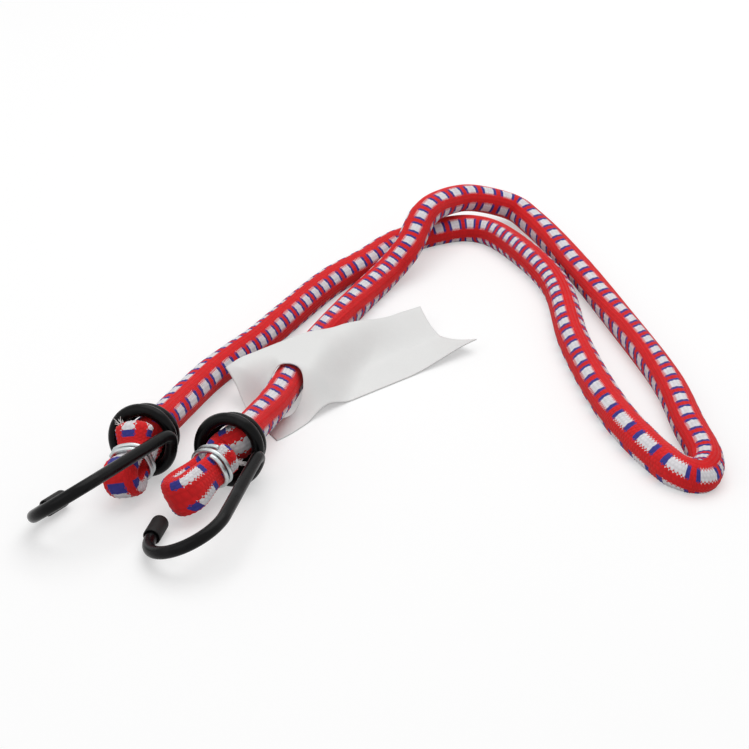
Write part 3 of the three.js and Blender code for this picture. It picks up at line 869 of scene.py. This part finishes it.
def tailRun(end):
    along, across, through = tailAxes(end)
    offset = tail["squeezedHalf"] + tail["legGap"] / 2
    turnPlace = end["tailLength"] - offset - tail["squeezedHalf"]
    radius = cord["diameter"] / 2
    bound = (tail["clampHalf"] + tail["legGap"] / 2, tail["clampHalf"], tail["clampDepth"])
    boundRows = [(tail["clampPlace"] + side * tail["clampRun"], *bound) for side in (-1, 1)]
    turned = (turnPlace, offset, tail["squeezedHalf"], end["turnDepth"])
    grip = radius + hookWire["cordPlay"] * tail["gripShare"]
    out = [(collarBack, 0, radius, radius), *((d, 0, grip, grip) for d in tail["gripRows"])]
    out += [(tail["standingFrom"], *tail["standing"]), *boundRows, turned]
    back = [(end["deadEnd"], end["deadOffset"], tail["deadHalf"], end["deadDepth"]), *boundRows, turned]
    side = end["standingSide"]
    rows = []
    for d in np.linspace(collarBack, turnPlace, tail["outPoints"]):
        shift, wide, deep = easeTable(out, d)
        rows.append((*(tailSpine(end, along, d) + across * side * shift), wide, deep))
    heel = tailSpine(end, along, turnPlace)
    for b in np.linspace(0, math.pi, tail["turnPoints"])[1:-1]:
        bent = along * offset * math.sin(b) + across * side * offset * math.cos(b)
        rows.append((*(heel + bent), tail["squeezedHalf"], end["turnDepth"]))
    for d in np.linspace(turnPlace, end["deadEnd"], tail["backPoints"]):
        shift, wide, deep = easeTable(back, d)
        rows.append((*(tailSpine(end, along, d) - across * side * shift), wide, deep))
    rows = np.array(rows)
    return rows[:, :3], rows[:, 3:], through


def makeTail(key, end):
    path, half, through = tailRun(end)
    run = lengths(path)
    tipAt = run[np.argmax(path @ heading(*end["tail"]))]
    rate = braid["picksPerFleck"] / tail["fleckPitch"]
    whiteAt = run[-1] - end["whiteAt"]
    high = (run[-1] - whiteAt) * rate
    low = -whiteAt * rate
    picks = halfPicks(low, high)
    places = whiteAt + picks / rate
    centre = pick(path, run, places)
    toCut = np.minimum((run[-1] - places) / tail["cutTaper"], 1)
    cut = 1 - tail["cutShrink"] * (1 - toCut) ** 2
    shape = np.stack([np.interp(places, run, half[:, k]) for k in range(2)], 1) * cut[:, None]
    after = np.minimum(places + tail["wayStep"], run[-1])
    before = np.maximum(places - tail["wayStep"], 0)
    ways = unit(pick(path, run, after) - pick(path, run, before))
    axes = framesAlong(ways, through)
    inCollar = smoothstep((tipAt - places - tail["turnFrom"]) / tail["turnOver"])
    turn = np.radians(end["rowTurn"] + tail["collarTurn"] * inCollar)
    count = picks + braid["whitePicks"] / 2 + tail["leadFlecks"] * braid["picksPerFleck"]
    bend = smoothstep(1 - np.abs(places - tipAt) / tail["squareReach"])
    square = 1 - (1 - tail["square"]) * bend
    skin = sleeve(key + "TailSheath", centre, axes, shape, turn, count, tail["wall"], tail["boreRings"],
                  square=square, slip=end["lean"] * np.sin(ringAngles()))
    dressSleeve(skin)
    sparse = spaced(len(centre), tail["coreRings"])
    thin = shape[sparse] - tail["wall"] - tail["corePlay"]
    rodPath = np.vstack([centre[sparse], centre[-1:] + ways[-1] * tail["corePeek"]])
    rodAxes = [np.vstack([axis[sparse], axis[-1:]]) for axis in axes]
    thin = np.vstack([thin, thin[-1:] * tail["coreTip"]])
    core = rod(key + "TailCore", rodPath, rodAxes, thin, tail["coreSides"], *tail["coreRibs"])
    core.data.materials.append(finish["core"])
    return skin, core


# Frayed yarns at the cut end of each tail
fray = {
    "strands": 28,
    "radius": 0.00016,
    "length": 0.0036,
    "inset": 0.0006,
    "startOut": (0.45, 0.75),
    "startAcross": (-0.2, 0.55),
    "goBack": (0.5, 1.1),
    "goOut": (0.2, 1.0),
    "goAcross": (-0.1, 0.5),
    "bowAcross": (-1, 0.3),
    "bowOut": (-0.5, 1),
    "lengths": (0.6, 1.0),
    "bow": 0.3,
    "thinning": 0.5,
    "points": 7,
    "sides": 6,
}


def makeFray(key, end):
    path, half, through = tailRun(end)
    along, across = tailAxes(end)[:2]
    rng = random.Random(end["seed"])
    side, lean = end["fray"]
    points, edges, radius = [], [], []

    def draw(label):
        return rng.uniform(*fray[label])

    for _ in range(fray["strands"]):
        start = path[-1] + along * fray["inset"]
        start = start + through * side * half[-1, 1] * draw("startOut")
        start = start + across * half[-1, 0] * draw("startAcross")
        way = unit(-along * draw("goBack") + through * side * lean * draw("goOut")
                   + across * draw("goAcross"))
        curl = unit(across * draw("bowAcross") + through * side * draw("bowOut"))
        reach = fray["length"] * draw("lengths")
        base = len(points)
        for k in range(fray["points"]):
            f = k / (fray["points"] - 1)
            points.append(start + way * reach * f + curl * reach * fray["bow"] * f * f)
            radius.append(fray["radius"] * (1 - fray["thinning"] * f))
        edges += [(base + k, base + k + 1) for k in range(fray["points"] - 1)]
    piece = newPiece(key + "Fray", points, [], edges, {"wireRadius": radius})
    runTree(piece, drawnWire, {"Sides": fray["sides"], "Material": finish["fray"]})
    return piece


def makeClamp(key, end):
    along, across, through = tailAxes(end)
    reach = 2 * tail["clampHalf"] + tail["legGap"] / 2 + bind["play"] + bind["wire"] / 2
    depth = tail["clampDepth"] + bind["play"] + bind["wire"] / 2
    points = []
    for turn in np.linspace(0, bind["turns"], bind["perTurn"] * bind["turns"] + 1):
        angle = turn * 2 * math.pi + bind["start"]
        c, s = math.cos(angle), math.sin(angle)
        d = tail["clampPlace"] + (bind["wire"] + bind["gap"]) * (turn - bind["turns"] / 2)
        wide = reach * math.copysign(abs(c) ** bind["squareness"], c)
        deep = depth * math.copysign(abs(s) ** bind["squareness"], s)
        points.append(tailSpine(end, along, d) + across * wide + through * deep)
    return drawWire(key + "Clamp", np.array(points), bind["wire"] / 2, bind["sides"], finish["clamp"],
                    bind["chamfer"])


# Hooks
def hookAxes(end):
    a = math.radians(end["azimuth"])
    side = np.array([math.cos(a), -math.sin(a), 0.0])
    top = unit(np.cross(end["axis"], side))
    return side, top * math.copysign(1, top[2])


def hookLine(end):
    side, top = hookAxes(end)
    spec = hookWire
    steps = spec["steps"]

    def spot(x, r, angle):
        return end["middle"] + end["axis"] * x + side * r * math.cos(angle) + top * r * math.sin(angle)

    roll = math.radians(end["roll"])
    leave = roll - spec["bendAngle"]
    line = []
    for f in np.linspace(0, 1, round(spec["perTurn"] * spec["turns"])):
        angle = leave - (1 - f) * spec["turns"] * 2 * math.pi
        radius = coilBack + spec["flare"] * f ** spec["narrowing"]
        line.append(spot(-coilLength * (1 - f), radius, angle))
    shank = heading(*end["shank"])
    throat = np.array(end["throat"])
    throat = unit(throat - shank * (throat @ shank))
    p0 = line[-1]
    p3 = spot(end["forward"], coilFront - end["inward"], roll)
    p1 = p0 + (top * math.cos(leave) - side * math.sin(leave)) * spec["bendOut"]
    p2 = p3 - shank * spec["bendIn"]
    for f in np.linspace(0, 1, steps["bend"])[1:]:
        g = 1 - f
        line.append(p0 * g ** 3 + p1 * 3 * g * g * f + p2 * 3 * g * f * f + p3 * f ** 3)
    for f in np.linspace(0, 1, steps["shank"])[1:]:
        line.append(p3 + shank * spec["shank"] * f)
    heel = line[-1]
    for b in np.linspace(0, math.pi, steps["throat"])[1:]:
        line.append(heel + spec["throat"] * (shank * math.sin(b) + throat * (1 - math.cos(b))))
    turned = line[-1]
    for f in np.linspace(0, 1, steps["tip"])[1:]:
        line.append(turned - shank * spec["tip"] * f)
    return np.array(line), shank, throat


cap = {
    "play": 0.00025,
    "wall": 0.00045,
    "length": 0.0088,
    "end": 0.0011,
    "nose": 0.0016,
    "gap": 0.0003,
    "lip": 0.0003,
    "floorShare": 0.8,
    "edge": 0.0001,
    "edgeRun": 0.00012,
    "sideFrom": 0.001,
    "noseFlat": 0.35,
    "sidePoints": 8,
    "nosePoints": 9,
    "sides": 48,
}


def makeCap(key, tip, shank, throat):
    inner = hookWire["diameter"] / 2 + cap["play"]
    outer = inner + cap["wall"]
    back = -shank
    base = tip + back * (cap["end"] + cap["gap"] - cap["length"])
    length, nose = cap["length"], cap["nose"]
    floor = length - cap["end"]
    profile = [(floor, 0.0), (floor, inner * cap["floorShare"]), (floor - cap["lip"], inner)]
    profile += [(cap["lip"], inner), (0.0, inner + cap["edge"]), (0.0, outer - cap["edge"])]
    profile += [(cap["edgeRun"], outer)]
    profile += [(x, outer) for x in np.linspace(cap["sideFrom"], length - nose, cap["sidePoints"])]
    for b in np.linspace(0, math.pi / 2, cap["nosePoints"])[1:-1]:
        girth = outer * (cap["noseFlat"] + (1 - cap["noseFlat"]) * math.cos(b))
        profile.append((length - nose + nose * math.sin(b), girth))
    profile.append((length, 0.0))
    sides = cap["sides"]
    around = 2 * math.pi * np.arange(sides) / sides
    cross = np.cross(throat, back)
    ring = np.cos(around)[:, None] * throat + np.sin(around)[:, None] * cross
    points, rings = [], []
    for x, r in profile:
        rings.append(len(points))
        if r == 0.0:
            points.append(base + back * x)
        else:
            points += list(base + back * x + r * ring)
    faces = []
    for i in range(len(profile) - 1):
        a, b = rings[i], rings[i + 1]
        for k in range(sides):
            n = (k + 1) % sides
            if profile[i][1] == 0.0:
                faces.append((a, b + n, b + k))
            elif profile[i + 1][1] == 0.0:
                faces.append((a + k, a + n, b))
            else:
                faces.append((a + k, a + n, b + n, b + k))
    piece = newPiece(key + "TipCap", points, faces)
    piece.data.materials.append(finish["cap"])
    return piece


made = {}
for key, end in ends.items():
    skin, core = makeTail(key, end)
    clamp = makeClamp(key, end)
    line, shank, throat = hookLine(end)
    hook = drawWire(key + "Hook", line, hookWire["diameter"] / 2, hookWire["sides"], finish["hook"],
                    hookWire["chamfer"])
    made[key] = {
        "tail_sheath": skin, "tail_core": core, "clamp": clamp, "hook": hook,
        "tip_cap": makeCap(key, line[-1], shank, throat),
    }
    end["frayPiece"] = makeFray(key, end)
    print(key, "end made")


# Tag: a card with a hole, low on the near side of the cord and resting over it on the far side
tag = {
    "thickness": 0.0004,
    "stand": 0.0001,
    "rise": 0.0112,
    "curl": 0.0039,
    "endDip": 0.003,
    "flare": 0.0046,
    "valley": 0.005,
    "near": (-0.0136, 0.0713, -0.0107),
    "far": (-0.0093, 0.0705, 0.0172),
    "holeLength": 0.0155,
    "holeWidth": 0.0126,
    "holeShift": 0.0002,
    "holeSnap": 0.9,  # points from this share of the hole's radius move out to its edge
    "drape": 0.0145,
    "clear": 0.0005,
    "overCord": 0.005,  # half the run in which the card climbs over the cord
    "lag": 0.0020,  # how much later it climbs on the cord's left
    "lagFrom": 0.002,
    "lagOver": 0.004,
    "foldFrom": 0.045,
    "foldOver": 0.015,
    "fold": 0.7,
    "curlFrom": 0.042,
    "curlOver": 0.029,
    "curlPower": 1.5,
    "flareShare": 3.2,
    "longWay": (0.78, 0.626),
    "wideWay": (-0.626, 0.78),
    "rises": [  # place along the card, where it starts and stops climbing, share of the rise
        (-0.013, -0.008, 0.022, 0.82), (-0.002, -0.006, 0.010, 1.0), (0.020, -0.003, 0.0165, 1.02),
        (0.036, 0.002, 0.019, 0.82), (0.059, 0.004, 0.019, 0.53), (0.072, 0.004, 0.019, 0.47),
    ],
    "columns": 190,
    "rows": 72,
}


def tagSurface(spec):
    hole = np.array(cord["rightLeg"][2][:2])
    way = unit(np.array(cord["rightLeg"][3][:2]) - np.array(cord["rightLeg"][1][:2]))
    side = np.array([way[1], -way[0]])
    longWay, wideWay = np.array(spec["longWay"]), np.array(spec["wideWay"])
    radius = cord["diameter"] / 2

    def height(p, q, at):
        lag = spec["lag"] * smoothstep((-(at @ side) - spec["lagFrom"]) / spec["lagOver"])
        t, s = (at @ way) * (way @ wideWay) - lag, abs(at @ side) - radius
        f = smoothstep((s - spec["clear"]) / (spec["drape"] if at @ side > 0 else cord["diameter"]))
        start, stop, share = easeTable(spec["rises"], p)
        gone = min(1.0, max(0.0, (q - start) / (stop - start)))
        fold = spec["fold"] * smoothstep((p - spec["foldFrom"]) / spec["foldOver"])
        slope = smoothstep(gone) * (1 - fold) + gone * fold
        over = smoothstep((t + spec["overCord"]) / (2 * spec["overCord"]))
        climb = over * (1 - f) + slope * f
        near = max(0.0, spec["valley"] - q) / (spec["valley"] - spec["near"][2])
        curl = smoothstep((p - spec["curlFrom"]) / spec["curlOver"]) * near ** spec["curlPower"]
        return spec["rise"] * share * climb + spec["curl"] * curl

    points, inside = [], []
    for j in range(spec["rows"] + 1):
        for i in range(spec["columns"] + 1):
            f, g = i / spec["columns"], j / spec["rows"]
            pNear = spec["near"][0] + (spec["near"][1] - spec["near"][0]) * f
            pFar = spec["far"][0] + (spec["far"][1] - spec["far"][0]) * f
            qNear = spec["near"][2] - spec["flare"] * (1 - smoothstep(f * spec["flareShare"]))
            p = pNear * (1 - g) + pFar * g - spec["endDip"] * f * f * 4 * g * (1 - g)
            q = qNear * (1 - g) + spec["far"][2] * g
            at = longWay * p + wideWay * q
            off = at - side * spec["holeShift"]
            x, y = off @ side / (spec["holeWidth"] / 2), off @ way / (spec["holeLength"] / 2)
            reach = math.hypot(x, y)
            inside.append(reach < 1)
            if spec["holeSnap"] < reach < 1:
                at = side * spec["holeShift"] + off / reach
                p, q = at @ longWay, at @ wideWay
            flat = hole + at + np.array(cord["shift"][:2])
            points.append((*flat, height(p, q, at) + spec["stand"]))
    return np.array(points), np.array(inside)


def makeTag(spec):
    points, inside = tagSurface(spec)
    wide = spec["columns"] + 1
    cells = []
    for j in range(spec["rows"]):
        for i in range(spec["columns"]):
            a = j * wide + i
            cells.append((a, a + 1, a + wide + 1, a + wide))
    cells = [cell for cell in cells if not all(inside[list(cell)])]
    used = sorted({k for cell in cells for k in cell})
    place = {k: i for i, k in enumerate(used)}
    top = [tuple(place[k] for k in cell) for cell in cells]
    count = len(used)
    upper = points[used] + np.array([0, 0, spec["thickness"]])
    borders = {}
    for cell in top:
        for a, b in zip(cell, cell[1:] + cell[:1]):
            if (b, a) in borders:
                del borders[(b, a)]
            else:
                borders[(a, b)] = True
    faces = list(top)
    faces += [tuple(count + k for k in reversed(cell)) for cell in top]
    faces += [(b, a, count + a, count + b) for a, b in borders]
    both = np.concatenate([upper, points[used]])
    piece = newPiece("hangTag", both, faces)
    piece.data.materials.append(finish["tag"])
    return piece


hangTag = makeTag(tag)
print("tag made")


# What rides on what
def settle(piece, body, slot, *nodes):
    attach(piece, body)
    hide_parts(*nodes)


loop = stretches["loop"]
settle(loop["skin"], "cord", "sheath", "loop_sheath")
settle(loop["core"], "cord", "core", "loop_core")
for key in ends:
    leg = stretches[key + "Leg"]
    for part in ("skin", "core"):
        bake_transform(leg[part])
        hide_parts(key + "_leg_" + ("sheath" if part == "skin" else "core"))
    for node, piece in made[key].items():
        body = key + ("_hook" if node in ("hook", "tip_cap") else "_end")
        settle(piece, body, node.split("_")[-1], key + "_" + node)
    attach(ends[key]["frayPiece"], key + "_end")
settle(hangTag, "tag", "tag", "tag")


# Stage: a white sweep that keeps the shadow, and soft light from above
stage = {
    "floor": 4.0,
    "white": (0.62, 0.62, 0.62, 1),
    "glow": (0.42, 0.42, 0.42, 1),
    "ambient": 0.46,
    "roughness": 0.9,
}
lamps = {
    "key": {"at": (0.16, 0.30, 1.00), "size": 1.0, "power": 6.0},
    "fill": {"at": (-0.70, -0.55, 0.80), "size": 0.9, "power": 1.8},
}


def cameraSees(net):
    path = net.tree.nodes.new("ShaderNodeLightPath").outputs
    labels = ("Is Camera Ray", "Is Glossy Ray", "Is Transmission Ray")
    camera, glossy, through = (Thread(net.tree, path[label]) for label in labels)
    return net.math("MAXIMUM", through, net.math("MAXIMUM", camera, glossy))


def makeStage(spec):
    s = spec["floor"]
    floor = newPiece("floor", [(-s, -s, 0), (s, -s, 0), (s, s, 0), (-s, s, 0)], [(0, 1, 2, 3)])
    material, net, shader = newFinish("paleFloor")
    glow = net.mix(cameraSees(net), (0, 0, 0, 1), spec["glow"])
    feed(net, shader, {"Base Color": spec["white"], "Roughness": spec["roughness"]})
    feed(net, shader, {"Specular IOR Level": 0.0, "Emission Color": glow, "Emission Strength": 1.0})
    floor.data.materials.append(material)
    world = bpy.data.worlds.new("studio")
    scene.world = world
    world.use_nodes = True
    sky = world.node_tree.nodes["Background"]
    air = Thread(world.node_tree)
    sky.inputs["Color"].default_value = (1, 1, 1, 1)
    strength = spec["ambient"] + cameraSees(air) * (1 - spec["ambient"])
    world.node_tree.links.new(strength.socket, sky.inputs["Strength"])


def makeLamp(name, spec):
    lamp = bpy.data.lights.new(name, "AREA")
    lamp.shape = "SQUARE"
    lamp.size = spec["size"]
    lamp.energy = spec["power"]
    holder = bpy.data.objects.new(name, lamp)
    scene.collection.objects.link(holder)
    holder.location = spec["at"]
    aim = np.array(view["target"]) - np.array(spec["at"])
    flat = math.hypot(aim[0], aim[1])
    holder.rotation_euler = (math.atan2(flat, -aim[2]), 0, math.atan2(aim[1], aim[0]) - math.pi / 2)


makeStage(stage)
for name, spec in lamps.items():
    makeLamp(name, spec)
print("stage lit")
